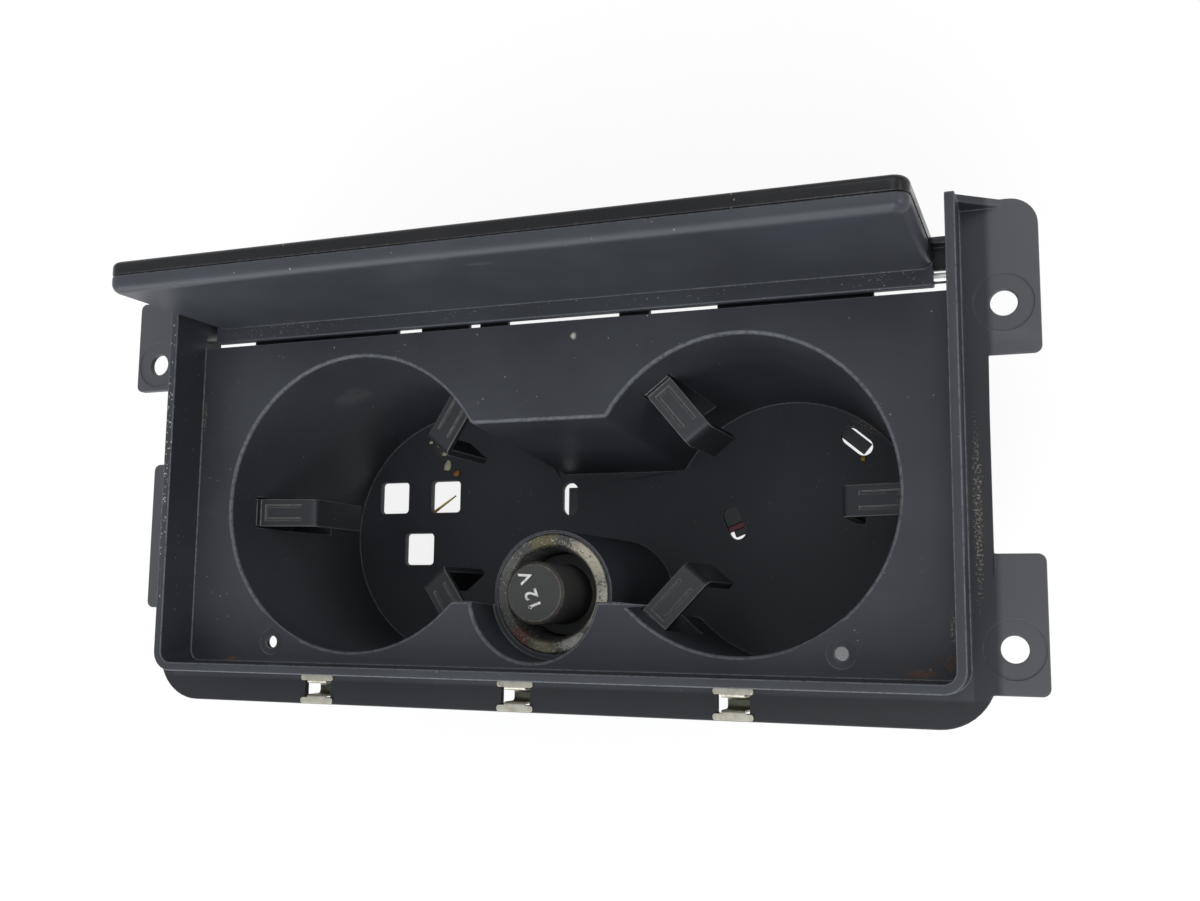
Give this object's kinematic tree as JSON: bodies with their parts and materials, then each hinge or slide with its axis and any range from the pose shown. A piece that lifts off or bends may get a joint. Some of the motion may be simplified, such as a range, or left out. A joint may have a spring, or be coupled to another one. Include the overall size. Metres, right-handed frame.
{
  "type": "car cup holder",
  "caption": "Car console cup holder: a moulded tray with twin cups, sprung retaining flaps, a power socket with its plug, and a hinged lid.",
  "frame": {"origin": "underside of the cup floor, midway between the cup axes", "axes": "+Z out of the cups, +X along the tray towards the side with two ears, +Y towards the lid's hinge"},
  "size_m": [0.238, 0.1132, 0.108],
  "materials": {
    "tray_plastic": "satin moulded",
    "lid_plastic": "satin moulded",
    "lid_gloss": "semi-gloss",
    "flap_plastic": "satin moulded",
    "plug_plastic": "satin moulded",
    "insulator": "plain",
    "spring_steel": "bright spring steel",
    "socket_metal": "dull and stained",
    "contact_brass": "plain"
  },
  "bodies": {
    "base": {"tray": "tray_plastic", "hinge_rod": "spring_steel", "front_clip_1": "spring_steel", "front_clip_2": "spring_steel", "front_clip_3": "spring_steel", "flap_spring_left_1": "spring_steel", "flap_spring_left_2": "spring_steel", "flap_spring_left_3": "spring_steel", "flap_spring_right_1": "spring_steel", "flap_spring_right_2": "spring_steel", "flap_spring_right_3": "spring_steel", "socket_shell": "socket_metal", "socket_insulator": "insulator", "socket_contact": "contact_brass"},
    "lid": {"lid_liner": "lid_plastic", "lid_cover": "lid_gloss"},
    "plug": {"plug": "plug_plastic"},
    "left_flap_1": {"flap_left_1": "flap_plastic"},
    "left_flap_2": {"flap_left_2": "flap_plastic"},
    "left_flap_3": {"flap_left_3": "flap_plastic"},
    "right_flap_1": {"flap_right_1": "flap_plastic"},
    "right_flap_2": {"flap_right_2": "flap_plastic"},
    "right_flap_3": {"flap_right_3": "flap_plastic"}
  },
  "joints": [
    {"name": "lid_hinge", "type": "hinge", "parent": "base", "child": "lid", "pos_m": [0, 0.0467, 0.06345], "axis": [1, 0, 0], "range_deg": [0, 90]},
    {"name": "plug_pull", "type": "slide", "parent": "base", "child": "plug", "axis": [0, 0, 1], "range_m": [0, 0.045]},
    {"name": "left_flap_1_hinge", "type": "hinge", "parent": "base", "child": "left_flap_1", "pos_m": [-0.09091, -0.00101, 0.052], "axis": [0, 1, 0], "range_deg": [0, 48], "stiffness_Nm_per_rad": 0.005, "springref_deg": -20.05, "deforming": ["flap_spring_left_1"]},
    {"name": "left_flap_2_hinge", "type": "hinge", "parent": "base", "child": "left_flap_2", "pos_m": [-0.0246, 0.02991, 0.052], "axis": [0.766, -0.6428, 0], "range_deg": [0, 48], "stiffness_Nm_per_rad": 0.005, "springref_deg": -20.05, "deforming": ["flap_spring_left_2"]},
    {"name": "left_flap_3_hinge", "type": "hinge", "parent": "base", "child": "left_flap_3", "pos_m": [-0.0246, -0.03193, 0.052], "axis": [-0.766, -0.6428, 0], "range_deg": [0, 48], "stiffness_Nm_per_rad": 0.005, "springref_deg": -20.05, "deforming": ["flap_spring_left_3"]},
    {"name": "right_flap_1_hinge", "type": "hinge", "parent": "base", "child": "right_flap_1", "pos_m": [0.08991, -0.00101, 0.052], "axis": [0, -1, 0], "range_deg": [0, 48], "stiffness_Nm_per_rad": 0.005, "springref_deg": -20.05, "deforming": ["flap_spring_right_1"]},
    {"name": "right_flap_2_hinge", "type": "hinge", "parent": "base", "child": "right_flap_2", "pos_m": [0.02632, 0.03001, 0.052], "axis": [0.788, 0.6157, 0], "range_deg": [0, 48], "stiffness_Nm_per_rad": 0.005, "springref_deg": -20.05, "deforming": ["flap_spring_right_2"]},
    {"name": "right_flap_3_hinge", "type": "hinge", "parent": "base", "child": "right_flap_3", "pos_m": [0.02525, -0.03117, 0.052], "axis": [-0.766, 0.6428, 0], "range_deg": [0, 48], "stiffness_Nm_per_rad": 0.005, "springref_deg": -20.05, "deforming": ["flap_spring_right_3"]}
  ]
}
